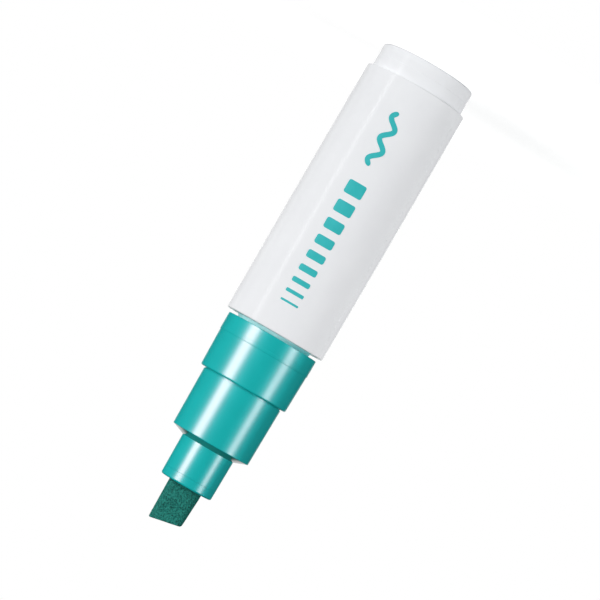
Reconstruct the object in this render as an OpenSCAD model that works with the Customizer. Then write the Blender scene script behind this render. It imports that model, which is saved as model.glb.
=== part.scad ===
// Paint marker with a broad chisel nib and a spring valve, standing on its tail.
// Millimetres. +Z runs along the axis from the tail's end face to the nib, and the
// nib's wide side faces -Y.

/* [Tail plug] */
// Length of the plug's head
plug_head_len = 1.75; // [1:0.05:4]
// Radius of the edge round the plug's end face
plug_edge = 0.95; // [0.2:0.05:1]
// Length of the shallow groove between the head and the barrel
plug_groove_len = 1.35; // [0.5:0.05:3]
// Depth of that groove
plug_groove_depth = 0.12; // [0.05:0.01:0.4]
// Length of the plug's cup inside the barrel
plug_insert = 6; // [3:0.1:12]
// Wall of that cup
plug_wall = 1.3; // [0.8:0.1:2.5]
// Thickness of the plug's floor at its middle
plug_floor = 2.2; // [1.2:0.1:3]
// Rise of the dished floor from its middle to its rim
plug_dish = 1.2; // [0.4:0.1:2]
// Diameter of the flat middle of the floor
plug_dish_d = 4; // [2:0.1:8]

/* [Mixing ball] */
// Diameter of the steel ball in the reservoir
ball_d = 8; // [5:0.1:11]

/* [Barrel] */
// Outer diameter of the barrel
barrel_d = 25; // [23:0.1:30]
// Length from the rear step to the front shoulder
barrel_len = 63.9; // [56:0.1:90]
// Length of the true cylinder behind the drafted front
grip_len = 38; // [20:0.5:50]
// Loss of diameter over the drafted front
barrel_draft = 0.22; // [0:0.02:0.6]
// Wall round the reservoir
barrel_wall = 2.1; // [1.4:0.1:3]
// Thickness of the front shoulder
shoulder_t = 3.2; // [2:0.1:5]
// Radius of the edge at the rear step
step_edge = 0.5; // [0.1:0.05:0.7]
// Radius of the edge at the front shoulder
shoulder_edge = 0.75; // [0.2:0.05:1.2]
// Length of the rear post behind the step
post_len = 2.7; // [1.5:0.1:6]
// Wall of the rear post
post_wall = 1.1; // [0.8:0.05:1.3]

/* [Neck] */
// Outer diameter of the neck
neck_d = 18.1; // [16.5:0.1:20]
// Length of the neck in front of the shoulder
neck_len = 6.3; // [5:0.1:8]
// Wall of the neck
neck_wall = 1.65; // [1.2:0.05:2]
// Flare of the neck's foot, on the radius
neck_flare = 0.45; // [0.1:0.05:0.8]
// Gap left between the shoulder and the collar
neck_gap = 0.82; // [0.4:0.02:2]
// Height of the snap bead round the neck
bead_h = 0.2; // [0.1:0.05:0.4]
// Length of the snap bead at its foot
bead_len = 1.2; // [0.8:0.1:2]
// Distance of the bead's middle from the collar's rear end
bead_place = 2; // [1.2:0.1:3]

/* [Collar] */
// Length of the collar
collar_len = 13.45; // [11:0.05:20]
// Length of the wider rear band that a cap sits on
band_len = 4.2; // [2:0.1:8]
// Step down from the band, on the radius
band_step = 0.11; // [0.05:0.01:0.4]
// Loss of diameter from the step to the front edge
collar_draft = 0.42; // [0:0.02:0.8]
// Step from the collar's front edge down to the sleeve
collar_lip = 1.07; // [0.7:0.01:2]
// Radius of the collar's front edge
collar_edge = 0.45; // [0.1:0.05:0.6]

/* [Front sleeve] */
// Diameter of the sleeve where it leaves the collar
sleeve_d = 19.86; // [18:0.02:23]
// Loss of diameter along the sleeve
sleeve_draft = 0.42; // [0:0.02:1]
// Length of the sleeve in front of the collar
sleeve_len = 14.45; // [10:0.05:25]
// Length of the steep cone at the sleeve's front
cone_len = 1.22; // [0.6:0.02:4]
// Thickness of the wall that the nib holder's flange seats on
bulkhead_t = 2.2; // [1.2:0.1:4]

/* [Nib holder] */
// Diameter of the nib holder where it leaves the cone
holder_d = 13.14; // [12.4:0.02:15]
// Loss of diameter from the cone to the holder's front face
holder_draft = 0.26; // [0:0.02:0.6]
// Length of the holder's tube in front of the cone
holder_len = 7.81; // [5:0.01:15]
// Wall of the holder's tube
holder_wall = 0.8; // [0.5:0.05:1]
// Width of the holder's inner flange, on the radius
holder_flange = 0.45; // [0.3:0.05:0.8]
// Thickness of that flange
holder_flange_t = 1.5; // [0.8:0.1:3]
// Length of the guide ring at the front
guide_len = 2.32; // [1.5:0.02:4]
// Length of the guide's spigot inside the holder
guide_insert = 3.1; // [1.5:0.1:5]
// Radius of the guide's front edge
guide_edge = 0.45; // [0.1:0.05:0.6]

/* [Nib] */
// Width of the nib
nib_w = 8.1; // [5:0.1:8.6]
// Thickness of the nib
nib_t = 5; // [3:0.1:6]
// Radius of the nib's long corners
nib_corner = 1; // [0.2:0.1:1.4]
// Length of the nib in front of the guide, on its long side
nib_out = 9.8; // [5:0.1:16]
// Length of the nib behind the guide's front face
nib_in = 22.5; // [18:0.1:26]
// Loss of width from the guide to the tip
nib_taper = 0.55; // [0:0.01:2]
// Slant of the nib's end, in degrees
nib_slant = 9.5; // [0:0.5:30]

/* [Valve] */
// Thickness of the flat gasket on the neck's end
gasket_t = 0.8; // [0.5:0.05:1.5]
// Thickness of the housing's flange
flange_t = 1.5; // [1:0.1:2.5]
// Wall of the housing inside the O-ring's groove
chamber_wall = 1; // [0.6:0.05:1.4]
// Diameter of the O-ring's section
oring_d = 1.4; // [1:0.05:1.6]
// Distance of the O-ring's middle behind the housing's flange
oring_drop = 5.5; // [3:0.1:7]
// Distance of the valve seat behind the neck's end
seat_drop = 3; // [2.2:0.1:5]
// Thickness of the wall that the seat is in
seat_t = 2; // [1.2:0.1:3]
// Diameter of the hole in the seat
seat_d = 5.8; // [5:0.1:6.4]
// Diameter of the stem
stem_d = 4; // [2.5:0.1:4.6]
// Thickness of the seal on the valve head
seal_t = 1; // [0.6:0.1:1.6]
// Thickness of the valve head
head_t = 1.2; // [0.8:0.1:2]
// Flow gap round the valve head, on the radius
head_gap = 0.8; // [0.4:0.05:1]
// Length of the pin on the head that centres the spring
pilot_len = 2.3; // [1:0.1:3]
// Diameter of that pin
pilot_d = 3.8; // [2.5:0.1:4.6]
// Wall of the stem's cup at the nib's corners
cup_wall = 1.2; // [0.7:0.05:1.4]
// Depth of the cup's pocket
cup_depth = 5.5; // [3:0.1:6]
// Thickness of the cup's floor
cup_floor = 1.5; // [1:0.1:3]
// Flutes for the paint round the cup
flutes = 4; // [2:1:6]
// Diameter of a flute
flute_d = 1.2; // [0.6:0.1:1.6]

/* [Valve spring] */
// Installed length of the spring
spring_len = 7.6; // [6:0.1:14]
// Mean diameter of the coil
spring_d = 5.8; // [5.4:0.05:6.2]
// Diameter of the wire
wire_d = 0.6; // [0.3:0.05:0.7]
// Turns of the coil
spring_turns = 5; // [3:1:6]

/* [Spring retainer] */
// Thickness of the retainer's flange
retainer_t = 1.2; // [0.8:0.1:2]
// Step of that flange in from the housing's outside
retainer_step = 0.35; // [0.1:0.05:0.8]
// Length of the retainer's spigot inside the housing
retainer_insert = 1.2; // [0.8:0.1:2.5]
// Diameter of the paint port at its middle
port_d = 3.4; // [1.5:0.1:4.4]
// Small ports round the middle
side_ports = 6; // [3:1:8]
// Diameter of a small port
side_port_d = 1; // [0.5:0.05:1.1]

/* [Clearances] */
// Between pieces that are pressed or clamped together, on the radius
seat_clear = 0.03; // [0.01:0.01:0.1]
// Between the nib and its guide, and the cup and the housing
run_clear = 0.08; // [0.03:0.01:0.1]
// Between the ball, or a spring's end, and what it stands on
rest_clear = 0.1; // [0.05:0.01:0.3]

/* [Hidden] */

// Segments of a turned surface, a rounded edge and the spring
$fn = 96;
arc_steps = 6;
spring_rings = 12;
spring_sides = 6;
// Extra length of a cut past the face it opens
cut = 1;

// Heights along the axis, from the tail to the nib
z_post = plug_head_len + plug_groove_len;
z_step = z_post + post_len;
z_grip_end = z_step + grip_len;
z_shoulder = z_step + barrel_len;
z_collar = z_shoulder + neck_gap;
z_bead = z_collar + bead_place;
z_neck = z_shoulder + neck_len;
z_flange = z_neck + gasket_t;
z_sleeve = z_flange + flange_t;
z_collar_end = z_collar + collar_len;
z_cone = z_collar_end + sleeve_len;
z_cone_end = z_cone + cone_len;
z_bulkhead = z_cone - bulkhead_t;
z_tube_end = z_bulkhead - holder_flange_t;
z_guide = z_cone_end + holder_len;
z_front = z_guide + guide_len;
z_tip = z_front + nib_out;

// Heights in the valve, from the seat to the rear
z_seat = z_neck - seat_drop;
z_head = z_seat - seal_t;
z_head_rear = z_head - head_t;
z_spring = z_head_rear - spring_len;
z_housing_rear = z_spring - retainer_insert;
z_nib_rear = z_front - nib_in;
z_cup = z_nib_rear - cup_floor;
z_cup_end = z_nib_rear + cup_depth;
z_oring = z_flange - oring_drop;

// Radii of the barrel and the tail
barrel_r = barrel_d / 2;
barrel_front_r = barrel_r - barrel_draft / 2;
bore_r = barrel_r - barrel_wall;
post_r = bore_r + post_wall;
insert_r = bore_r - seat_clear;
neck_r = neck_d / 2;
neck_bore_r = neck_r - neck_wall;

// Radii of the green front
sleeve_r = sleeve_d / 2;
sleeve_front_r = sleeve_r - sleeve_draft / 2;
socket_r = sleeve_r + seat_clear;
collar_bore_r = neck_r + seat_clear;
collar_front_r = sleeve_r + collar_lip;
collar_rear_r = collar_front_r + collar_draft / 2;
band_r = collar_rear_r + band_step;
holder_r = holder_d / 2;
holder_bore_r = holder_r - holder_wall;
holder_flange_r = holder_r + holder_flange;
sleeve_bore_r = holder_flange_r + seat_clear;
front_r = holder_r - holder_draft / 2;
guide_r = holder_r - holder_draft / 2 * holder_len / (holder_len + guide_len);

// Radii of the valve
nib_reach = norm([nib_w / 2 - nib_corner, nib_t / 2 - nib_corner]) + nib_corner;
cup_r = nib_reach + seat_clear + cup_wall;
tube_bore_r = cup_r + run_clear;
housing_r = neck_bore_r - seat_clear;
housing_flange_r = neck_r - seat_clear;
groove_r = neck_bore_r - oring_d;
groove_len = oring_d + 2 * seat_clear;
chamber_r = groove_r - chamber_wall;
head_r = chamber_r - head_gap;
stem_r = stem_d / 2;

// Points of an arc from one angle to another
function arc(x, z, r, from, to) =
    [for (i = [0:arc_steps]) let (a = from + (to - from) * i / arc_steps) [x + r * cos(a), z + r * sin(a)]];

// Points of a trapezoid bead that stands h proud of radius r, from rear to front
function bead(r, z, len, h) = [[r, z - len / 2], [r + h, z - len / 6], [r + h, z + len / 6], [r, z + len / 2]];

// Ring of square section
module washer(inner_r, outer_r, z0, z1) {
    translate([0, 0, z0])
        rotate_extrude()
            translate([inner_r, 0])
                square([outer_r - inner_r, z1 - z0]);
}

// Rectangle with round corners, built of squares and circles so that its arcs stay true
module rounded_rectangle(w, t, r) {
    square([w - 2 * r, t], center = true);
    square([w, t - 2 * r], center = true);
    for (x = [-1, 1], y = [-1, 1])
        translate([x * (w / 2 - r), y * (t / 2 - r)])
            circle(r);
}

// Upright bar with the nib's section, grown by a clearance all round
module nib_bar(z0, z1, clear) {
    translate([0, 0, z0])
        linear_extrude(z1 - z0)
            rounded_rectangle(nib_w + 2 * clear, nib_t + 2 * clear, nib_corner + clear);
}

module tail_plug() {
    outline = concat(
        [[0, 0]],
        arc(post_r - plug_edge, plug_edge, plug_edge, -90, 0),
        [
            [post_r, plug_head_len],
            [post_r - plug_groove_depth, plug_head_len],
            [post_r - plug_groove_depth, z_post],
            [insert_r, z_post],
            [insert_r, z_post + plug_insert],
            [insert_r - plug_wall, z_post + plug_insert],
            [insert_r - plug_wall, plug_floor + plug_dish],
            [plug_dish_d / 2, plug_floor],
            [0, plug_floor]
        ]
    );
    color("white")
        rotate_extrude()
            polygon(outline);
}

module mixing_ball() {
    color("silver")
        translate([0, 0, plug_floor + rest_clear + ball_d / 2])
            sphere(d = ball_d);
}

module barrel() {
    outline = concat(
        [[bore_r, z_post], [post_r, z_post], [post_r, z_step]],
        arc(barrel_r - step_edge, z_step + step_edge, step_edge, -90, 0),
        [[barrel_r, z_grip_end]],
        arc(barrel_front_r - shoulder_edge, z_shoulder - shoulder_edge, shoulder_edge, 0, 90),
        [[neck_r + neck_flare, z_shoulder], [neck_r, z_collar]],
        bead(neck_r, z_bead, bead_len, bead_h),
        [
            [neck_r, z_neck],
            [neck_bore_r, z_neck],
            [neck_bore_r, z_shoulder - shoulder_t],
            [bore_r, z_shoulder - shoulder_t]
        ]
    );
    color("white")
        rotate_extrude()
            polygon(outline);
}

module neck_gasket() {
    color("dimgray")
        washer(housing_r + seat_clear, housing_flange_r, z_neck, z_flange);
}

module valve_housing() {
    outline = [
        [chamber_r, z_housing_rear],
        [housing_r, z_housing_rear],
        [housing_r, z_oring - groove_len / 2],
        [groove_r, z_oring - groove_len / 2],
        [groove_r, z_oring + groove_len / 2],
        [housing_r, z_oring + groove_len / 2],
        [housing_r, z_flange],
        [housing_flange_r, z_flange],
        [housing_flange_r, z_sleeve],
        [holder_flange_r, z_sleeve],
        [holder_flange_r, z_tube_end],
        [tube_bore_r, z_tube_end],
        [tube_bore_r, z_seat + seat_t],
        [seat_d / 2, z_seat + seat_t],
        [seat_d / 2, z_seat],
        [chamber_r, z_seat]
    ];
    color("ivory")
        rotate_extrude()
            polygon(outline);
}

module housing_o_ring() {
    section_r = oring_d / 2 - seat_clear;
    color("black")
        translate([0, 0, z_oring])
            rotate_extrude()
                translate([groove_r + oring_d / 2, 0])
                    circle(section_r);
}

module spring_retainer() {
    spigot_r = chamber_r - seat_clear;
    ring_r = (spigot_r + port_d / 2) / 2;
    color("ivory")
        difference() {
            union() {
                washer(port_d / 2, housing_r - retainer_step, z_housing_rear - retainer_t, z_housing_rear);
                washer(port_d / 2, spigot_r, z_housing_rear, z_spring);
            }
            for (i = [0:side_ports - 1])
                rotate(i * 360 / side_ports)
                    translate([ring_r, 0, z_housing_rear - retainer_t - cut])
                        cylinder(h = retainer_t + retainer_insert + 2 * cut, d = side_port_d);
        }
}

// The spring is one tube of wire, swept round a helix that stands on the retainer
spring_foot = z_spring + rest_clear + wire_d / 2;
spring_rise = spring_len - wire_d - 2 * rest_clear;
spring_steps = spring_turns * spring_rings;

function coil(i) =
    let (a = 360 * i / spring_rings)
    [spring_d / 2 * cos(a), spring_d / 2 * sin(a), spring_foot + spring_rise * i / spring_steps];

function wire_ring(i) =
    let (a = 360 * i / spring_rings)
    [for (k = [0:spring_sides - 1])
        let (b = 360 * k / spring_sides)
        coil(i) + wire_d / 2 * [cos(b) * cos(a), cos(b) * sin(a), sin(b)]];

spring_gap = min([
    for (i = [0:spring_steps], j = [i + spring_rings / 2:1:spring_steps])
        norm(coil(i) - coil(j)) - wire_d
]);
echo(str("valve spring, least gap between its turns in mm: ", spring_gap));

module valve_spring() {
    wire_points = [for (i = [0:spring_steps]) each wire_ring(i)];
    last = spring_steps * spring_sides;
    wire_faces = concat(
        [for (k = [1:spring_sides - 2]) [0, k, k + 1]],
        [for (k = [1:spring_sides - 2]) [last, last + k + 1, last + k]],
        [for (i = [0:spring_steps - 1], k = [0:spring_sides - 1])
            let (a = i * spring_sides + k, b = i * spring_sides + (k + 1) % spring_sides)
            each [[a, a + spring_sides, b], [b, a + spring_sides, b + spring_sides]]]
    );
    color("gainsboro")
        polyhedron(wire_points, wire_faces);
}

module valve_seal() {
    color("black")
        washer(stem_r + seat_clear, head_r, z_head, z_seat);
}

module valve_stem() {
    outline = [
        [0, z_head_rear - pilot_len],
        [pilot_d / 2, z_head_rear - pilot_len],
        [pilot_d / 2, z_head_rear],
        [head_r, z_head_rear],
        [head_r, z_head],
        [stem_r, z_head],
        [stem_r, z_cup],
        [cup_r, z_cup],
        [cup_r, z_cup_end],
        [0, z_cup_end]
    ];
    color("whitesmoke")
        difference() {
            rotate_extrude()
                polygon(outline);
            nib_bar(z_nib_rear, z_cup_end + cut, seat_clear);
            for (i = [0:flutes - 1])
                rotate((i + 0.5) * 360 / flutes)
                    translate([cup_r, 0, z_cup - cut])
                        cylinder(h = z_cup_end - z_cup + 2 * cut, d = flute_d);
        }
}

module collar() {
    outline = concat(
        [[collar_bore_r, z_collar], [band_r, z_collar], [band_r, z_collar + band_len]],
        [[collar_rear_r, z_collar + band_len]],
        arc(collar_front_r - collar_edge, z_collar_end - collar_edge, collar_edge, 0, 90),
        [[socket_r, z_collar_end], [socket_r, z_sleeve], [collar_bore_r, z_sleeve]],
        [for (i = [3:-1:0]) bead(collar_bore_r, z_bead, bead_len, bead_h)[i]]
    );
    color("darkturquoise")
        rotate_extrude()
            polygon(outline);
}

module front_sleeve() {
    hole_r = holder_r + seat_clear;
    outline = [
        [sleeve_bore_r, z_sleeve],
        [sleeve_r, z_sleeve],
        [sleeve_r, z_collar_end],
        [sleeve_front_r, z_cone],
        [hole_r, z_cone_end],
        [hole_r, z_bulkhead],
        [sleeve_bore_r, z_bulkhead]
    ];
    color("darkturquoise")
        rotate_extrude()
            polygon(outline);
}

module nib_holder() {
    outline = [
        [holder_bore_r, z_tube_end],
        [holder_flange_r, z_tube_end],
        [holder_flange_r, z_bulkhead],
        [holder_r, z_bulkhead],
        [holder_r, z_cone_end],
        [guide_r, z_guide],
        [holder_bore_r, z_guide]
    ];
    color("darkturquoise")
        rotate_extrude()
            polygon(outline);
}

module nib_guide() {
    spigot_r = holder_bore_r - seat_clear;
    outline = concat(
        [[0, z_guide - guide_insert], [spigot_r, z_guide - guide_insert], [spigot_r, z_guide], [guide_r, z_guide]],
        arc(front_r - guide_edge, z_front - guide_edge, guide_edge, 0, 90),
        [[0, z_front]]
    );
    color("darkturquoise")
        difference() {
            rotate_extrude()
                polygon(outline);
            nib_bar(z_guide - guide_insert - cut, z_front + cut, run_clear);
        }
}

module nib() {
    tip_half = (nib_w - nib_taper) / 2;
    side = [
        [-nib_w / 2, z_nib_rear],
        [nib_w / 2, z_nib_rear],
        [nib_w / 2, z_front],
        [tip_half, z_tip],
        [-tip_half, z_tip - 2 * tip_half * tan(nib_slant)],
        [-nib_w / 2, z_front]
    ];
    color("teal")
        intersection() {
            nib_bar(z_nib_rear, z_tip, 0);
            rotate([90, 0, 0])
                linear_extrude(nib_t + 2 * cut, center = true)
                    polygon(side);
        }
}

tail_plug();
mixing_ball();
barrel();
neck_gasket();
valve_housing();
housing_o_ring();
spring_retainer();
valve_spring();
valve_seal();
valve_stem();
collar();
front_sleeve();
nib_holder();
nib_guide();
nib();
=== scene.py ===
# Paint marker with a white barrel, a green stepped front and a broad felt nib, dressed on its solids.
# Metres, in the solids' frame: it stands on its tail with the nib up, and the nib's wide side faces -Y.
import math

import bmesh
import bpy
from mathutils import Matrix, Vector


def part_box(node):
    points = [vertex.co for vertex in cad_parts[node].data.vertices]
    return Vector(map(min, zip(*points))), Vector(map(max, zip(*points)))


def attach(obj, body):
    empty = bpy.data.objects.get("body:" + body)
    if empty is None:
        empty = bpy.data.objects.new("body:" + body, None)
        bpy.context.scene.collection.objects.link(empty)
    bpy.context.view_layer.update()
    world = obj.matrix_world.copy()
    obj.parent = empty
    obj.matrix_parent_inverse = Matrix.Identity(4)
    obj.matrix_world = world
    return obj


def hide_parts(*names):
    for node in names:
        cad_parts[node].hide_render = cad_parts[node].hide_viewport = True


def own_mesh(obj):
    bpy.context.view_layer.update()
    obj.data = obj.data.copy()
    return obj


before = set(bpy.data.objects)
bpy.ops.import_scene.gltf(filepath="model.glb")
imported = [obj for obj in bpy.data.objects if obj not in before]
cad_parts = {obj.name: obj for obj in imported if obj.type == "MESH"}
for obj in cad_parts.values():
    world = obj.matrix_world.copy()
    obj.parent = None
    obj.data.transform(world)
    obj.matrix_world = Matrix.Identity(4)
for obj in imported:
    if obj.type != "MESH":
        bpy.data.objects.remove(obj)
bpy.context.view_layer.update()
mm = 0.001


# Tail plug: a cup of white polypropylene that closes the barrel's rear end. It is injection
# moulded and pushed in, and its hollowed end face keeps the nub of the gate at its middle.
turn_steps = 144
axis_r = 0.001 * mm
weld = 4 * axis_r
crease = math.radians(32)


def turned(name, outline, closed=True):
    """A turned piece, left in edit mode: one ring is pulled through the outline's (radius, height) points.
    A closed outline runs back to its first point, and an open one starts and ends on the axis."""
    radius, height = outline[0]
    bpy.ops.object.select_all(action="DESELECT")
    bpy.ops.mesh.primitive_circle_add(
        vertices=turn_steps, radius=max(radius, axis_r), location=(0, 0, height)
    )
    piece = bpy.context.object
    piece.name = name
    piece.data.name = name
    bpy.ops.object.transform_apply(location=True)
    bpy.ops.object.mode_set(mode="EDIT")
    bpy.ops.mesh.select_all(action="SELECT")
    for next_radius, next_height in outline[1:] + (outline[:1] if closed else []):
        bpy.ops.mesh.extrude_region_move(TRANSFORM_OT_translate={"value": (0, 0, next_height - height)})
        growth = max(next_radius, axis_r) / max(radius, axis_r)
        bpy.ops.transform.resize(value=(growth, growth, 1), center_override=(0, 0, 0))
        radius, height = next_radius, next_height
    bpy.ops.mesh.select_all(action="SELECT")
    bpy.ops.mesh.remove_doubles(threshold=weld)
    bpy.ops.mesh.normals_make_consistent(inside=False)
    return piece


def round_rim(piece, radius, height, size, steps=4):
    """Rounds the rim at that radius and height of a piece in edit mode."""
    bpy.ops.mesh.select_all(action="DESELECT")
    mesh = bmesh.from_edit_mesh(piece.data)
    for edge in mesh.edges:
        if all(abs(v.co.xy.length - radius) + abs(v.co.z - height) < weld for v in edge.verts):
            edge.select_set(True)
    bmesh.update_edit_mesh(piece.data)
    bpy.ops.mesh.bevel(offset=size, segments=steps, affect="EDGES")


def finish_mesh(piece, material, body, slot, *nodes):
    """Leaves edit mode, smooths the piece up to its sharp edges, and fits it in place of its solids."""
    bpy.ops.object.mode_set(mode="OBJECT")
    bpy.ops.object.shade_smooth_by_angle(angle=crease)
    flats = piece.modifiers.new("flats", "WEIGHTED_NORMAL")
    flats.keep_sharp = True
    bpy.ops.object.modifier_apply(modifier="flats")
    piece.data.materials.append(material)
    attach(piece, body)
    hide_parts(*nodes)


def surface(name, tones, mottle, gloss, grain, grain_size, **sockets):
    """A finish whose colour drifts between two tones over patches of one size, with uneven gloss and grain.
    Its shader's other sockets are given by name, with _ for a space."""
    spread = 0.2
    material = bpy.data.materials.new(name)
    material.use_nodes = True
    nodes = material.node_tree.nodes
    links = material.node_tree.links
    shader = nodes["Principled BSDF"]
    place = nodes.new("ShaderNodeTexCoord").outputs["Object"]
    patches = nodes.new("ShaderNodeTexNoise")
    patches.inputs["Scale"].default_value = 1 / mottle
    patches.inputs["Detail"].default_value = 4
    links.new(place, patches.inputs["Vector"])
    colours = nodes.new("ShaderNodeValToRGB")
    colours.color_ramp.elements[0].position = 0.5 - spread
    colours.color_ramp.elements[1].position = 0.5 + spread
    for stop, tone in zip(colours.color_ramp.elements, tones):
        stop.color = (*tone, 1)
    links.new(patches.outputs["Fac"], colours.inputs["Fac"])
    links.new(colours.outputs["Color"], shader.inputs["Base Color"])
    pores = nodes.new("ShaderNodeTexNoise")
    pores.inputs["Scale"].default_value = 1 / grain_size
    pores.inputs["Detail"].default_value = 3
    links.new(place, pores.inputs["Vector"])
    sheen = nodes.new("ShaderNodeMapRange")
    sheen.inputs["To Min"].default_value = gloss[0]
    sheen.inputs["To Max"].default_value = gloss[1]
    links.new(pores.outputs["Fac"], sheen.inputs["Value"])
    links.new(sheen.outputs["Result"], shader.inputs["Roughness"])
    relief = nodes.new("ShaderNodeBump")
    relief.inputs["Distance"].default_value = grain
    links.new(pores.outputs["Fac"], relief.inputs["Height"])
    links.new(relief.outputs["Normal"], shader.inputs["Normal"])
    for socket, value in sockets.items():
        shader.inputs[socket.replace("_", " ")].default_value = value
    return material


white_plastic = surface(
    "white_plastic",
    tones=((0.838, 0.848, 0.87), (0.862, 0.872, 0.892)),
    mottle=9 * mm,
    gloss=(0.18, 0.22),
    grain=0.004 * mm,
    grain_size=0.4 * mm,
)

plug_low, plug_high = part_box("tail_plug")
plug_r = plug_high.x
plug_edge = 0.7 * mm
head_z = 1.6 * mm
groove_r = plug_r - 0.12 * mm
groove_z = 2.9 * mm
post_z = 3.1 * mm
insert_r = 10.37 * mm
cup_r = insert_r - 1.3 * mm
dish_r = 2 * mm
dish_z = 2.2 * mm
dish_rise = 1.2 * mm
hollow_r = plug_r - 2.6 * mm
hollow_z = 0.45 * mm
hollow_slope = 0.3 * mm
hollow_edge = 0.2 * mm
gate_r = 1.1 * mm
gate_z = 0.2 * mm
gate_edge = 0.08 * mm
head_edge = 0.2 * mm
insert_edge = 0.3 * mm
tail_plug = turned(
    "tail_plug_moulding",
    [
        (0, gate_z),
        (gate_r, gate_z),
        (gate_r, hollow_z),
        (hollow_r - hollow_slope, hollow_z),
        (hollow_r, plug_low.z),
        (plug_r, plug_low.z),
        (plug_r, head_z),
        (groove_r, groove_z),
        (groove_r, post_z),
        (insert_r, post_z),
        (insert_r, plug_high.z),
        (cup_r, plug_high.z),
        (cup_r, dish_z + dish_rise),
        (dish_r, dish_z),
        (0, dish_z),
    ],
    closed=False,
)
round_rim(tail_plug, plug_r, plug_low.z, plug_edge, steps=8)
round_rim(tail_plug, hollow_r, plug_low.z, hollow_edge)
round_rim(tail_plug, plug_r, head_z, head_edge)
round_rim(tail_plug, insert_r, plug_high.z, insert_edge)
round_rim(tail_plug, gate_r, gate_z, gate_edge, steps=3)
finish_mesh(tail_plug, white_plastic, "marker_body", "white_plastic", "tail_plug")


# Mixing ball: a polished steel ball, loose in the paint, that stirs it when the marker is shaken.
# It is ground and tumbled, so its shine is broken by fine scuffs.
ball_steel = surface(
    "ball_steel",
    tones=((0.60, 0.60, 0.62), (0.74, 0.74, 0.76)),
    mottle=3 * mm,
    gloss=(0.12, 0.26),
    grain=0.003 * mm,
    grain_size=0.3 * mm,
    Metallic=1,
)


def dress(node, material):
    """Gives a solid that shows as it is its finish."""
    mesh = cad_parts[node].data
    mesh.materials.clear()
    mesh.materials.append(material)


dress("mixing_ball", ball_steel)


# Barrel: the white polypropylene tube that holds the paint, moulded in one piece with the post at
# its rear, the shoulder at its front and the neck that the green collar snaps on. The neck's tone is
# painted light: a pale green bounce from the collar, with painted shade deeper on the -X side.
barrel_low, barrel_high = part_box("barrel")
barrel_r = barrel_high.x
barrel_front_r = barrel_r - 0.11 * mm
bore_r = barrel_r - 2.1 * mm
post_r = bore_r + 1.1 * mm
step_z = 5.8 * mm
rim_z = step_z + 0.25 * mm
grip_z = step_z + 38 * mm
shoulder_z = step_z + 63.9 * mm
roof_z = shoulder_z - 3.2 * mm
neck_r = 9.05 * mm
neck_flare = 0.45 * mm
neck_bore_r = neck_r - 1.65 * mm
collar_low, collar_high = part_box("collar")
bead_z = collar_low.z + 2 * mm
bead_h = 0.2 * mm
bead_half = 0.6 * mm
rim_edge = 0.12 * mm
shoulder_edge = 0.35 * mm
post_edge = 0.06 * mm
neck_edge = 0.2 * mm
barrel = turned(
    "barrel_moulding",
    [
        (bore_r, barrel_low.z),
        (post_r, barrel_low.z),
        (post_r, rim_z),
        (barrel_r, rim_z),
        (barrel_r, grip_z),
        (barrel_front_r, shoulder_z),
        (neck_r + neck_flare, shoulder_z),
        (neck_r, collar_low.z),
        (neck_r, bead_z - bead_half),
        (neck_r + bead_h, bead_z - bead_half / 3),
        (neck_r + bead_h, bead_z + bead_half / 3),
        (neck_r, bead_z + bead_half),
        (neck_r, barrel_high.z),
        (neck_bore_r, barrel_high.z),
        (neck_bore_r, roof_z),
        (bore_r, roof_z),
    ],
)
round_rim(barrel, barrel_r, rim_z, rim_edge)
round_rim(barrel, barrel_front_r, shoulder_z, shoulder_edge, steps=6)
round_rim(barrel, post_r, barrel_low.z, post_edge, steps=3)
round_rim(barrel, neck_r, barrel_high.z, neck_edge)


def tinted(finish, name, low, tone, gloss):
    """A copy of a finish that takes another tone and gloss above a height. The other tone is painted light
    or shade.
    """
    fade = 0.1 * mm
    finish = finish.copy()
    finish.name = name
    nodes = finish.node_tree.nodes
    links = finish.node_tree.links
    height = nodes.new("ShaderNodeSeparateXYZ")
    links.new(nodes["Texture Coordinate"].outputs["Object"], height.inputs[0])
    above = nodes.new("ShaderNodeMapRange")
    above.inputs["From Min"].default_value = low - fade
    above.inputs["From Max"].default_value = low + fade
    links.new(height.outputs["Z"], above.inputs["Value"])
    tint = nodes.new("ShaderNodeMix")
    tint.data_type = "RGBA"
    tint.inputs["B"].default_value = (*tone, 1)
    links.new(above.outputs["Result"], tint.inputs["Factor"])
    links.new(nodes["Color Ramp"].outputs["Color"], tint.inputs["A"])
    links.new(tint.outputs["Result"], nodes["Principled BSDF"].inputs["Base Color"])
    polish = nodes.new("ShaderNodeMix")
    polish.inputs["B"].default_value = gloss
    links.new(above.outputs["Result"], polish.inputs["Factor"])
    links.new(nodes["Map Range"].outputs["Result"], polish.inputs["A"])
    links.new(polish.outputs["Result"], nodes["Principled BSDF"].inputs["Roughness"])
    return finish


# The neck's tones are painted light: a pale green for light bounced off the green collar, darkened by
# painted shade towards the -X side.
neck_gloss = 0.3
neck_bounce_tone = (0.6, 0.94, 0.96)
neck_shade_tone = (0.2, 0.66, 0.68)
neck_lit_x = -1.5 * mm
neck_shade_x = -8 * mm
barrel_plastic = tinted(white_plastic, "barrel_plastic", shoulder_z, neck_bounce_tone, neck_gloss)
nodes = barrel_plastic.node_tree.nodes
links = barrel_plastic.node_tree.links
shade_side = nodes.new("ShaderNodeMapRange")
shade_side.inputs["From Min"].default_value = neck_lit_x
shade_side.inputs["From Max"].default_value = neck_shade_x
links.new(nodes["Separate XYZ"].outputs["X"], shade_side.inputs["Value"])
neck_shade = nodes.new("ShaderNodeMix")
neck_shade.data_type = "RGBA"
neck_shade.inputs["A"].default_value = (*neck_bounce_tone, 1)
neck_shade.inputs["B"].default_value = (*neck_shade_tone, 1)
links.new(shade_side.outputs["Result"], neck_shade.inputs["Factor"])
links.new(neck_shade.outputs["Result"], nodes["Mix"].inputs["B"])
finish_mesh(barrel, barrel_plastic, "marker_body", "white_plastic", "barrel")


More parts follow.
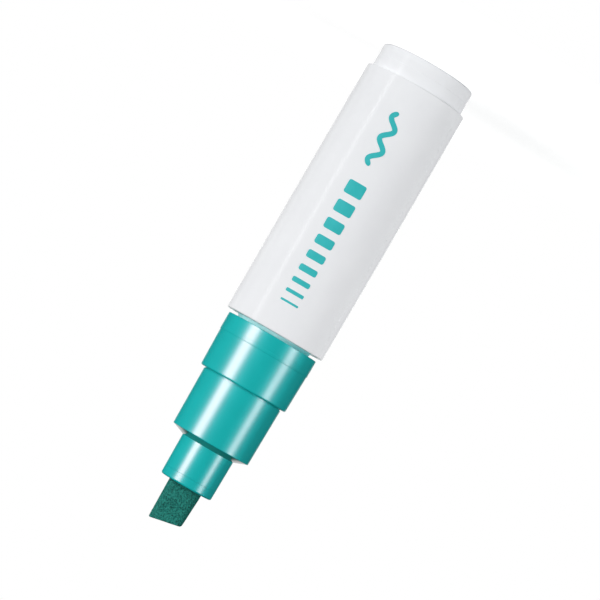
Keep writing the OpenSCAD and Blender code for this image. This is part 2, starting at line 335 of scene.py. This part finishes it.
# Print on the barrel: a pad-printed film of green ink, a wavy stroke and a row of bars that get
# thinner. It lies on the barrel's front, a few hundredths of a millimetre thick.
ink = surface(
    "print_ink",
    tones=((0.043, 0.48, 0.495), (0.054, 0.52, 0.54)),
    mottle=2 * mm,
    gloss=(0.4, 0.5),
    grain=0.004 * mm,
    grain_size=0.25 * mm,
    Specular_IOR_Level=0.12,
)
ink_t = 0.03 * mm
ink_lift = 0.012 * mm
patch_y = -1.2 * barrel_r
mark_x = 0.6 * mm
mark_w = 4.4 * mm
mark_corner = 0.5 * mm
mark_cut = 0.4 * mm


def ink_patch(name, width, length, middle_z):
    """A flat patch in front of the barrel, left in edit mode."""
    bpy.ops.object.select_all(action="DESELECT")
    bpy.ops.mesh.primitive_plane_add(
        size=1, location=(mark_x, patch_y, middle_z), rotation=(math.radians(90), 0, 0)
    )
    patch = bpy.context.object
    patch.name = name
    patch.data.name = name
    patch.scale = (width, length, 1)
    bpy.ops.object.transform_apply(location=True, rotation=True, scale=True)
    bpy.ops.object.mode_set(mode="EDIT")
    bpy.ops.mesh.select_all(action="SELECT")
    return patch


def print_patch(patch):
    """Cuts a patch into narrow strips, lays it on the barrel and gives it the ink's thickness."""
    cut_x = mark_x - mark_w
    while cut_x < mark_x + mark_w:
        bpy.ops.mesh.select_all(action="SELECT")
        bpy.ops.mesh.bisect(plane_co=(cut_x, 0, 0), plane_no=(1, 0, 0))
        cut_x += mark_cut
    bpy.ops.object.mode_set(mode="OBJECT")
    lay = patch.modifiers.new("lay", "SHRINKWRAP")
    lay.target = barrel
    lay.wrap_method = "PROJECT"
    lay.use_project_y = True
    lay.offset = ink_lift
    film = patch.modifiers.new("film", "SOLIDIFY")
    film.thickness = ink_t
    film.offset = 1
    for step in ("lay", "film"):
        bpy.ops.object.modifier_apply(modifier=step)
    patch.data.materials.append(ink)
    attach(patch, "marker_body")


bar_count = 9
bar_thick = 3.3 * mm
bar_thin = 0.5 * mm
bar_round = 0.3
bar_gap = 1.75 * mm
bar_z = 31.5 * mm
for bar in range(bar_count):
    bar_t = bar_thick + (bar_thin - bar_thick) * bar / (bar_count - 1)
    patch = ink_patch(f"print_bar_{bar}", mark_w, bar_t, bar_z + bar_t / 2)
    bpy.ops.mesh.bevel(offset=min(mark_corner, bar_round * bar_t), segments=4, affect="VERTICES")
    print_patch(patch)
    bar_z += bar_t + bar_gap

wave_low = 13.6 * mm
wave_high = 27 * mm
wave_w = 1.2 * mm
wave_round = 0.45 * wave_w
wave_swing = 1.1 * mm
wave_turns = 2.5
wave_cuts = 80
stroke = ink_patch("print_wave", wave_w, wave_high - wave_low, (wave_low + wave_high) / 2)
bpy.ops.mesh.bevel(offset=wave_round, segments=6, affect="VERTICES")
for cut in range(1, wave_cuts):
    cut_z = wave_low + (wave_high - wave_low) * cut / wave_cuts
    bpy.ops.mesh.select_all(action="SELECT")
    bpy.ops.mesh.bisect(plane_co=(0, 0, cut_z), plane_no=(0, 0, 1))
mesh = bmesh.from_edit_mesh(stroke.data)
wave_rate = 2 * math.pi * wave_turns / (wave_high - wave_low)
for vert in mesh.verts:
    phase = wave_rate * (vert.co.z - wave_low)
    lean = math.atan(wave_swing * wave_rate * math.cos(phase))
    side = vert.co.x - mark_x
    vert.co.x = mark_x + wave_swing * math.sin(phase) + side * math.cos(lean)
    vert.co.z -= side * math.sin(lean)
bmesh.update_edit_mesh(stroke.data)
print_patch(stroke)


# Valve unit in the neck: a natural polypropylene housing on a rubber gasket and O-ring, with a
# ported retainer at its rear. It is assembled first and then pushed into the barrel's neck.
natural_plastic = surface(
    "natural_plastic",
    tones=((0.74, 0.73, 0.67), (0.81, 0.80, 0.75)),
    mottle=4 * mm,
    gloss=(0.36, 0.5),
    grain=0.006 * mm,
    grain_size=0.3 * mm,
    Subsurface_Weight=0.2,
    Subsurface_Scale=1 * mm,
)
seal_rubber = surface(
    "seal_rubber",
    tones=((0.018, 0.018, 0.02), (0.045, 0.045, 0.048)),
    mottle=1.2 * mm,
    gloss=(0.55, 0.72),
    grain=0.02 * mm,
    grain_size=0.15 * mm,
)
for node in ("valve_housing", "spring_retainer"):
    dress(node, natural_plastic)
for node in ("neck_gasket", "housing_o_ring"):
    dress(node, seal_rubber)


# Valve stem and seal: a rod of natural polypropylene with a valve head behind and a fluted cup in
# front that grips the nib. The black rubber ring on the head closes the seat.
dress("valve_stem", natural_plastic)
dress("valve_seal", seal_rubber)


# Valve spring: hard-drawn steel wire coiled round the stem's pin. It stands on the retainer,
# holds the valve shut and pushes the nib out, and gets shorter as the nib is pressed in.
spring_low, spring_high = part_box("valve_spring")
wire_r = 0.3 * mm
wire_sides = 12
coil_r = spring_high.x - wire_r
coil_turns = 5
coil_steps = 40
coil_foot = spring_low.z + wire_r
coil_pitch = (spring_high.z - spring_low.z - 2 * wire_r) / coil_turns
spring_steel = surface(
    "spring_steel",
    tones=((0.42, 0.42, 0.44), (0.60, 0.60, 0.62)),
    mottle=1.5 * mm,
    gloss=(0.22, 0.4),
    grain=0.006 * mm,
    grain_size=0.12 * mm,
    Metallic=1,
)
bpy.ops.object.select_all(action="DESELECT")
bpy.ops.mesh.primitive_circle_add(
    vertices=wire_sides,
    radius=wire_r,
    location=(coil_r, 0, coil_foot),
    rotation=(math.radians(90), 0, 0),
)
valve_spring = bpy.context.object
valve_spring.name = "valve_spring_coil"
bpy.ops.object.transform_apply(location=True, rotation=True)
winding = valve_spring.modifiers.new("winding", "SCREW")
winding.axis = "Z"
winding.angle = math.radians(360)
winding.screw_offset = coil_pitch
winding.iterations = coil_turns
winding.steps = coil_steps
winding.render_steps = coil_steps
bpy.ops.object.modifier_apply(modifier="winding")
bpy.ops.object.mode_set(mode="EDIT")
bpy.ops.mesh.select_all(action="SELECT")
bpy.ops.mesh.remove_doubles(threshold=axis_r)
bpy.ops.mesh.fill_holes(sides=wire_sides)
bpy.ops.mesh.normals_make_consistent(inside=False)
finish_mesh(valve_spring, spring_steel, "marker_body", "spring_steel", "valve_spring")
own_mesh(valve_spring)


# Collar: the green ring that snaps over the neck's bead. It is moulded in a hard, shiny plastic,
# and its rear band stands a tenth of a millimetre proud, where a cap closes on it.
green_plastic = surface(
    "green_plastic",
    tones=((0.003, 0.475, 0.47), (0.004, 0.51, 0.505)),
    mottle=6 * mm,
    gloss=(0.27, 0.3),
    grain=0.0015 * mm,
    grain_size=0.3 * mm,
    IOR=1.87,
    Specular_Tint=(1, 0.7, 0.75, 1),
)
collar_band_r = collar_high.x
band_z = collar_low.z + 4.2 * mm
line_z = band_z - 0.95 * mm
line_w = 0.14 * mm
line_d = 0.03 * mm
collar_rear_r = collar_band_r - 0.11 * mm
collar_front_r = collar_rear_r - 0.21 * mm
collar_bore_r = neck_r + 0.03 * mm
socket_r = 9.96 * mm
socket_z = 78.3 * mm
socket_edge = 0.15 * mm
collar_rear_edge = 0.12 * mm
collar_front_edge = 0.45 * mm
band_edge = 0.07 * mm
collar = turned(
    "collar_moulding",
    [
        (collar_bore_r, collar_low.z),
        (collar_band_r, collar_low.z),
        (collar_band_r, line_z - line_w),
        (collar_band_r - line_d, line_z),
        (collar_band_r, line_z + line_w),
        (collar_band_r, band_z),
        (collar_rear_r, band_z),
        (collar_front_r, collar_high.z),
        (socket_r, collar_high.z),
        (socket_r, socket_z),
        (collar_bore_r, socket_z),
        (collar_bore_r, bead_z + bead_half),
        (collar_bore_r + bead_h, bead_z + bead_half / 3),
        (collar_bore_r + bead_h, bead_z - bead_half / 3),
        (collar_bore_r, bead_z - bead_half),
    ],
)
round_rim(collar, collar_band_r, collar_low.z, collar_rear_edge)
round_rim(collar, collar_band_r, band_z, band_edge, steps=3)
round_rim(collar, collar_front_r, collar_high.z, collar_front_edge, steps=6)
round_rim(collar, socket_r, collar_high.z, socket_edge, steps=3)
finish_mesh(collar, green_plastic, "marker_body", "green_plastic", "collar")


# Front sleeve: the green tube that stands in the collar's socket and ends in a steep cone. It is
# moulded like the collar, its inner wall holds the nib holder's flange, and the cone is polished,
# with painted shade making it darker than the rest.
sleeve_low, sleeve_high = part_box("front_sleeve")
sleeve_r = sleeve_high.x
sleeve_front_r = sleeve_r - 0.21 * mm
sleeve_bore_r = 7.05 * mm
holder_r = 6.57 * mm
holder_hole_r = holder_r + 0.03 * mm
cone_z = sleeve_high.z - 1.22 * mm
bulkhead_z = cone_z - 2.2 * mm
relief_d = 0.2 * mm
relief_low_z = collar_high.z - 0.6 * mm
relief_foot_z = collar_high.z - 0.4 * mm
relief_z = collar_high.z + 0.3 * mm
relief_lip = 0.05 * mm
cone_edge = 0.12 * mm
hole_edge = 0.06 * mm
# Above this height the cone takes a painted shade tone and a lower roughness.
cone_shade_z = cone_z + 0.1 * mm
cone_shade_tone = (0.03, 0.29, 0.25)
cone_gloss = 0.1
front_sleeve = turned(
    "front_sleeve_moulding",
    [
        (sleeve_bore_r, sleeve_low.z),
        (sleeve_r, sleeve_low.z),
        (sleeve_r, relief_low_z),
        (sleeve_r - relief_d, relief_foot_z),
        (sleeve_r - relief_d, relief_z - relief_lip),
        (sleeve_r, relief_z),
        (sleeve_front_r, cone_z),
        (holder_hole_r, sleeve_high.z),
        (holder_hole_r, bulkhead_z),
        (sleeve_bore_r, bulkhead_z),
    ],
)
round_rim(front_sleeve, sleeve_front_r, cone_z, cone_edge)
round_rim(front_sleeve, holder_hole_r, sleeve_high.z, hole_edge, steps=3)
sleeve_plastic = tinted(green_plastic, "sleeve_plastic", cone_shade_z, cone_shade_tone, cone_gloss)
finish_mesh(front_sleeve, sleeve_plastic, "marker_body", "green_plastic", "front_sleeve")


# Nib holder: the slim green tube that comes out of the cone. Its inner flange is clamped between
# the sleeve's wall and the valve housing.
holder_low, holder_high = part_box("nib_holder")
guide_low, guide_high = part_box("nib_guide")
holder_bore_r = holder_r - 0.8 * mm
holder_flange_r = holder_high.x
guide_r = guide_high.x
seam_w = 0.06 * mm
seam_d = 0.05 * mm
nib_holder = turned(
    "nib_holder_moulding",
    [
        (holder_bore_r, holder_low.z),
        (holder_flange_r, holder_low.z),
        (holder_flange_r, bulkhead_z),
        (holder_r, bulkhead_z),
        (holder_r, sleeve_high.z),
        (guide_r, holder_high.z - seam_w / 2),
        (guide_r - seam_d, holder_high.z),
        (holder_bore_r, holder_high.z),
    ],
)
finish_mesh(nib_holder, green_plastic, "marker_body", "green_plastic", "nib_holder")


# Nib guide: the ring pressed into the holder's end, whose slot keeps the nib from turning while
# it slides. A fine seam parts it from the holder.
guide_front_r = guide_r - 0.03 * mm
guide_front_z = guide_high.z - 0.15 * mm
guide_edge = 0.45 * mm
spigot_r = holder_bore_r - 0.03 * mm
slot_clear = 0.08 * mm
slot_past = 1 * mm
nib_low, nib_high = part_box("nib")
nib_w = nib_high.x - nib_low.x
nib_t = nib_high.y - nib_low.y
nib_corner = 1.7 * mm
nib_guide = turned(
    "nib_guide_moulding",
    [
        (0, guide_low.z),
        (spigot_r, guide_low.z),
        (spigot_r, holder_high.z),
        (guide_r - seam_d, holder_high.z),
        (guide_r, holder_high.z + seam_w / 2),
        (guide_front_r, guide_front_z),
        (0, guide_front_z),
    ],
    closed=False,
)
round_rim(nib_guide, guide_front_r, guide_front_z, guide_edge, steps=6)
bpy.ops.object.mode_set(mode="OBJECT")


def nib_bar(name, clear, low, high):
    """An upright bar with the nib's section, grown by a clearance, left in edit mode."""
    bpy.ops.object.select_all(action="DESELECT")
    bpy.ops.mesh.primitive_cube_add(size=1, location=(0, 0, (low + high) / 2))
    bar = bpy.context.object
    bar.name = name
    bar.data.name = name
    bar.scale = (nib_w + 2 * clear, nib_t + 2 * clear, high - low)
    bpy.ops.object.transform_apply(location=True, scale=True)
    bpy.ops.object.mode_set(mode="EDIT")
    bpy.ops.mesh.select_all(action="DESELECT")
    mesh = bmesh.from_edit_mesh(bar.data)
    for edge in mesh.edges:
        ends = [v.co for v in edge.verts]
        if abs(ends[0].z - ends[1].z) > (high - low) / 2:
            edge.select_set(True)
    bmesh.update_edit_mesh(bar.data)
    bpy.ops.mesh.bevel(offset=nib_corner + clear, segments=8, affect="EDGES")
    return bar


slot_cutter = nib_bar("slot_cutter", slot_clear, guide_low.z - slot_past, guide_high.z + slot_past)
bpy.ops.object.mode_set(mode="OBJECT")
bpy.ops.object.select_all(action="DESELECT")
bpy.context.view_layer.objects.active = nib_guide
nib_guide.select_set(True)
slot = nib_guide.modifiers.new("slot", "BOOLEAN")
slot.object = slot_cutter
slot.operation = "DIFFERENCE"
bpy.ops.object.modifier_apply(modifier="slot")
bpy.data.objects.remove(slot_cutter)
finish_mesh(nib_guide, green_plastic, "marker_body", "green_plastic", "nib_guide")


# Nib: a bar of bonded polyester felt soaked in green paint, cut to a slightly slanted chisel end.
# Its rear end sits in the stem's cup, its matted fibres leave pits all over, and dots of painted shade
# stand for their shadows.
felt = surface(
    "nib_felt",
    tones=((0.003, 0.12, 0.102), (0.031, 0.282, 0.23)),
    mottle=0.4 * mm,
    gloss=(0.8, 0.95),
    grain=0.08 * mm,
    grain_size=0.2 * mm,
    Specular_IOR_Level=0.2,
)
pit_size = 0.3 * mm
pit_shade = 0.4
pit_deep = 0.36
pit_shallow = 0.52
nodes = felt.node_tree.nodes
links = felt.node_tree.links
# The pits' darkness is painted shade: noise dots multiplied into the felt's colour.
pits = nodes.new("ShaderNodeTexNoise")
pits.inputs["Scale"].default_value = 1 / pit_size
links.new(nodes["Texture Coordinate"].outputs["Object"], pits.inputs["Vector"])
shade = nodes.new("ShaderNodeMapRange")
shade.inputs["From Min"].default_value = pit_deep
shade.inputs["From Max"].default_value = pit_shallow
shade.inputs["To Min"].default_value = pit_shade
links.new(pits.outputs["Fac"], shade.inputs["Value"])
painted_pit_shade = nodes.new("ShaderNodeMix")
painted_pit_shade.data_type = "RGBA"
painted_pit_shade.blend_type = "MULTIPLY"
painted_pit_shade.inputs["Factor"].default_value = 1
links.new(nodes["Color Ramp"].outputs["Color"], painted_pit_shade.inputs["A"])
links.new(shade.outputs["Result"], painted_pit_shade.inputs["B"])
links.new(painted_pit_shade.outputs["Result"], nodes["Principled BSDF"].inputs["Base Color"])
nib_slant = math.radians(11.3)
tip_long_x = nib_w / 2 - 0.17 * mm
tip_short_x = nib_w / 2 - 0.43 * mm
short_round = 0.45 * mm
long_round = 0.25 * mm
tip_facets = 4
taper_z = guide_high.z + 1 * mm
nib_nap = 0.06 * mm
felt_voxel = 0.14 * mm
fibre_size = 0.3 * mm
mat_depth = 0.08 * mm
nib = nib_bar("nib_felt_bar", nib_nap, nib_low.z, nib_high.z)
bpy.ops.mesh.select_all(action="SELECT")
bpy.ops.mesh.bisect(plane_co=(0, 0, taper_z), plane_no=(0, 0, 1))
bpy.ops.mesh.select_all(action="DESELECT")
mesh = bmesh.from_edit_mesh(nib.data)
for vert in mesh.verts:
    vert.select_set(vert.co.z > nib_high.z - axis_r)
mesh.select_flush_mode()
bmesh.update_edit_mesh(nib.data)
bpy.ops.transform.resize(
    value=((tip_long_x + tip_short_x) / nib_w, 1, 1), center_override=(0, 0, nib_high.z)
)
bpy.ops.transform.translate(value=((tip_long_x - tip_short_x) / 2, 0, 0))
for corner_x, corner_round, side_lean, first_facet in (
    (short_round - tip_short_x, short_round, math.radians(90), 0),
    (tip_long_x - long_round, long_round, math.radians(-90), 1),
):
    fall = math.sin(nib_slant) * (tip_long_x - corner_x) + corner_round
    corner = Vector((corner_x, 0, nib_high.z - fall / math.cos(nib_slant)))
    for facet in range(first_facet, tip_facets):
        lean = nib_slant + (side_lean - nib_slant) * facet / tip_facets
        facing = Vector((-math.sin(lean), 0, math.cos(lean)))
        bpy.ops.mesh.select_all(action="SELECT")
        bpy.ops.mesh.bisect(
            plane_co=corner + corner_round * facing, plane_no=facing, clear_outer=True, use_fill=True
        )
bpy.ops.object.mode_set(mode="OBJECT")
blocks = nib.modifiers.new("blocks", "REMESH")
blocks.mode = "VOXEL"
blocks.voxel_size = felt_voxel
bpy.ops.object.modifier_apply(modifier="blocks")
fibres = bpy.data.textures.new("felt_fibres", "CLOUDS")
fibres.noise_scale = fibre_size
fibres.noise_depth = 2
matting = nib.modifiers.new("matting", "DISPLACE")
matting.texture = fibres
matting.texture_coords = "LOCAL"
matting.mid_level = 1
matting.strength = mat_depth
bpy.ops.object.modifier_apply(modifier="matting")
finish_mesh(nib, felt, "nib_valve", "nib_felt", "nib")


# Floor: a white sheet that the marker stands on. It keeps the marker's shadow close by, and further
# out it runs into the white background. The lamps' light passes it from below, and it isn't mirrored.
floor_r = 0.12
shade_r = 0.03
clear_r = 0.11
floor_glow = 0.85
floor_tone = 0.56
floor_sides = 96
bpy.ops.object.select_all(action="DESELECT")
bpy.ops.mesh.primitive_circle_add(vertices=floor_sides, radius=floor_r, fill_type="NGON")
floor = bpy.context.object
floor.name = "floor"
floor.visible_shadow = False
floor.visible_glossy = False
paper = bpy.data.materials.new("floor_paper")
paper.use_nodes = True
paper.cycles.emission_sampling = "NONE"
nodes = paper.node_tree.nodes
links = paper.node_tree.links
nodes.clear()
place = nodes.new("ShaderNodeTexCoord")
reach = nodes.new("ShaderNodeVectorMath")
reach.operation = "LENGTH"
links.new(place.outputs["Object"], reach.inputs[0])
glow = nodes.new("ShaderNodeMapRange")
glow.interpolation_type = "SMOOTHSTEP"
glow.inputs["From Min"].default_value = shade_r
glow.inputs["From Max"].default_value = clear_r
glow.inputs["To Min"].default_value = floor_glow
glow.inputs["To Max"].default_value = 1
links.new(reach.outputs["Value"], glow.inputs["Value"])
rays = nodes.new("ShaderNodeLightPath")
seen = nodes.new("ShaderNodeMath")
seen.operation = "MAXIMUM"
links.new(rays.outputs["Is Camera Ray"], seen.inputs[0])
links.new(rays.outputs["Is Transmission Ray"], seen.inputs[1])
level = nodes.new("ShaderNodeMath")
level.operation = "MULTIPLY"
links.new(seen.outputs["Value"], level.inputs[0])
links.new(glow.outputs["Result"], level.inputs[1])
matt = nodes.new("ShaderNodeBsdfDiffuse")
matt.inputs["Color"].default_value = (floor_tone, floor_tone, floor_tone, 1)
white = nodes.new("ShaderNodeEmission")
links.new(level.outputs["Value"], white.inputs["Strength"])
both = nodes.new("ShaderNodeAddShader")
links.new(matt.outputs["BSDF"], both.inputs[0])
links.new(white.outputs["Emission"], both.inputs[1])
sheet = nodes.new("ShaderNodeOutputMaterial")
links.new(both.outputs["Shader"], sheet.inputs["Surface"])
floor.data.materials.append(paper)


# Studio: two tall soft lamps, the bright one on the +X side, in a dim room with a white backdrop
# behind the marker. The camera and clear rays see white all round, and cards that light only the
# white or only the green pieces shape their shine.
room_left = 0.3
room_right = 0.1
room_top = 0.05
room_back = 0.75
room_gloss = 0.005
backdrop_edge = math.cos(math.radians(22))
backdrop_core = math.cos(math.radians(15))
backdrop_height = 1.6
dome_low = 0.05
dome_high = 0.7
sides_reach = 0.5
rear_start = 0.1
world = bpy.data.worlds.new("studio")
world.use_nodes = True
world.cycles.sampling_method = "NONE"
nodes = world.node_tree.nodes
links = world.node_tree.links
sky = nodes["Background"]
sky.inputs["Color"].default_value = (1, 1, 1, 1)
rays = nodes.new("ShaderNodeLightPath")
place = nodes.new("ShaderNodeTexCoord")
heading = nodes.new("ShaderNodeSeparateXYZ")
links.new(place.outputs["Generated"], heading.inputs[0])
squat = nodes.new("ShaderNodeVectorMath")
squat.operation = "MULTIPLY"
squat.inputs[1].default_value = (1, 1, 1 / backdrop_height)
links.new(place.outputs["Generated"], squat.inputs[0])
even = nodes.new("ShaderNodeVectorMath")
even.operation = "NORMALIZE"
links.new(squat.outputs["Vector"], even.inputs[0])
behind = nodes.new("ShaderNodeSeparateXYZ")
links.new(even.outputs["Vector"], behind.inputs[0])
backdrop = nodes.new("ShaderNodeMapRange")
backdrop.interpolation_type = "SMOOTHSTEP"
backdrop.inputs["From Min"].default_value = backdrop_edge
backdrop.inputs["From Max"].default_value = backdrop_core
backdrop.inputs["To Min"].default_value = room_gloss
backdrop.inputs["To Max"].default_value = 1
links.new(behind.outputs["Y"], backdrop.inputs["Value"])
dome = nodes.new("ShaderNodeMapRange")
dome.interpolation_type = "SMOOTHSTEP"
dome.inputs["From Min"].default_value = dome_low
dome.inputs["From Max"].default_value = dome_high
dome.inputs["To Max"].default_value = room_top
links.new(heading.outputs["Z"], dome.inputs["Value"])
sides = nodes.new("ShaderNodeMapRange")
sides.interpolation_type = "SMOOTHSTEP"
sides.inputs["From Min"].default_value = -sides_reach
sides.inputs["From Max"].default_value = sides_reach
sides.inputs["To Min"].default_value = room_right
sides.inputs["To Max"].default_value = room_left
links.new(heading.outputs["X"], sides.inputs["Value"])
rear = nodes.new("ShaderNodeMapRange")
rear.interpolation_type = "SMOOTHSTEP"
rear.inputs["From Min"].default_value = rear_start
rear.inputs["To Max"].default_value = room_back
links.new(heading.outputs["Y"], rear.inputs["Value"])
walls = nodes.new("ShaderNodeMath")
walls.operation = "ADD"
links.new(sides.outputs["Result"], walls.inputs[0])
links.new(rear.outputs["Result"], walls.inputs[1])
links.new(walls.outputs["Value"], dome.inputs["To Min"])
room = nodes.new("ShaderNodeMix")
links.new(rays.outputs["Is Glossy Ray"], room.inputs["Factor"])
links.new(dome.outputs["Result"], room.inputs["A"])
links.new(backdrop.outputs["Result"], room.inputs["B"])
clear = nodes.new("ShaderNodeMath")
clear.operation = "MAXIMUM"
links.new(rays.outputs["Is Camera Ray"], clear.inputs[0])
links.new(rays.outputs["Is Transmission Ray"], clear.inputs[1])
strength = nodes.new("ShaderNodeMath")
strength.operation = "MAXIMUM"
links.new(clear.outputs["Value"], strength.inputs[0])
links.new(room.outputs["Result"], strength.inputs[1])
links.new(strength.outputs["Value"], sky.inputs["Strength"])
bpy.context.scene.world = world


def soft_lamp(name, turn, distance, width, low, high, power):
    """A tall lamp that stands so many degrees round from the marker's front and faces its axis."""
    turn = math.radians(turn)
    middle = (low + high) / 2
    place = Vector((math.sin(turn) * distance, -math.cos(turn) * distance, middle))
    bpy.ops.object.light_add(type="AREA", location=place)
    lamp = bpy.context.object
    lamp.name = name
    lamp.rotation_euler = Vector((-place.x, -place.y, 0)).to_track_quat("-Z", "Y").to_euler()
    lamp.data.shape = "RECTANGLE"
    lamp.data.size = width
    lamp.data.size_y = high - low
    lamp.data.energy = power
    lamp.data.cycles.use_multiple_importance_sampling = False
    lamp.visible_camera = False
    return lamp


def lit_only(lamp, pieces, state):
    """Makes a lamp light only these pieces, or all but these."""
    group = bpy.data.collections.new(lamp.name + "_pieces")
    for piece in pieces:
        group.objects.link(piece)
    for entry in group.collection_objects:
        entry.light_linking.link_state = state
    lamp.light_linking.receiver_collection = group


white_pieces = (tail_plug, barrel)

# The lamps light the green pieces. On the white ones, wide screens further off stand in for them.
lamp_low = -0.05
lamp_high = 0.19
screen_grow = 6
screen_low = -0.69
screen_high = 0.75
for name, turn, width, power, tint, screen_power in (
    ("key", 44.4, 0.22, 2.1, (1, 1, 1), 81),
    ("side", -60.5, 0.15, 1.05, (0.8, 1, 1), 30.2),
):
    lamp = soft_lamp(
        name + "_lamp", turn, distance=0.5, width=width, low=lamp_low, high=lamp_high, power=power
    )
    lamp.data.color = tint
    lit_only(lamp, white_pieces, "EXCLUDE")
    screen = soft_lamp(
        name + "_screen",
        turn,
        distance=3,
        width=screen_grow * width,
        low=screen_low,
        high=screen_high,
        power=screen_power,
    )
    screen.visible_glossy = False
    lit_only(screen, white_pieces, "INCLUDE")

# Dim blue-green cards behind the lamps widen the shine on the green pieces.
for name, turn, power, tint in (
    ("key_glow", 40, 0.45, (0, 0.8, 1)),
    ("side_glow", -66, 0.7, (0, 1, 1)),
):
    card = soft_lamp(name, turn, distance=0.55, width=0.7, low=lamp_low, high=lamp_high, power=power)
    card.data.color = tint
    card.visible_diffuse = False
    lit_only(card, white_pieces, "EXCLUDE")

# The white pieces get one fine line of shine, light on their rims from behind and below, and a
# card that fills their dark side.
edge_lamp = soft_lamp("edge_lamp", 56.4, distance=0.4, width=0.05, low=-0.1, high=0.2, power=0.125)
edge_lamp.visible_diffuse = False
lit_only(edge_lamp, white_pieces, "INCLUDE")
for name, turn, width, power in (("key_rim", 140, 0.41, 0.2), ("side_rim", -148, 0.25, 0.06)):
    card = soft_lamp(name, turn, distance=0.5, width=width, low=-0.08, high=0.22, power=power)
    card.data.cycles.use_multiple_importance_sampling = True
    card.visible_diffuse = False
    lit_only(card, white_pieces, "INCLUDE")
side_card = soft_lamp("side_card", -85, distance=0.3, width=0.3, low=0, high=0.2, power=0.53)
side_card.visible_glossy = False
lit_only(side_card, white_pieces, "INCLUDE")
bpy.ops.object.light_add(type="AREA", location=(0, 0, -0.6), rotation=(math.radians(180), 0, 0))
low_card = bpy.context.object
low_card.name = "low_card"
low_card.data.size = 0.1
low_card.data.energy = 0.6
low_card.visible_camera = False
low_card.visible_glossy = False
lit_only(low_card, white_pieces, "INCLUDE")


# Camera: a long lens in front of the marker, turned so that the marker slants across the picture
# with its tail at the upper right.
eye = Vector((-0.00115, -0.7540, 0.0874))
aim = Vector((-0.00115, 0, 0.0602))
roll = math.radians(210.19)
bpy.ops.object.camera_add(location=eye)
camera = bpy.context.object
facing = (aim - eye).to_track_quat("-Z", "Y").to_matrix()
camera.rotation_euler = (facing @ Matrix.Rotation(roll, 3, "Z")).to_euler()
camera.data.lens = 200
camera.data.sensor_width = 36
bpy.context.scene.camera = camera
bpy.context.scene.view_settings.view_transform = "Standard"
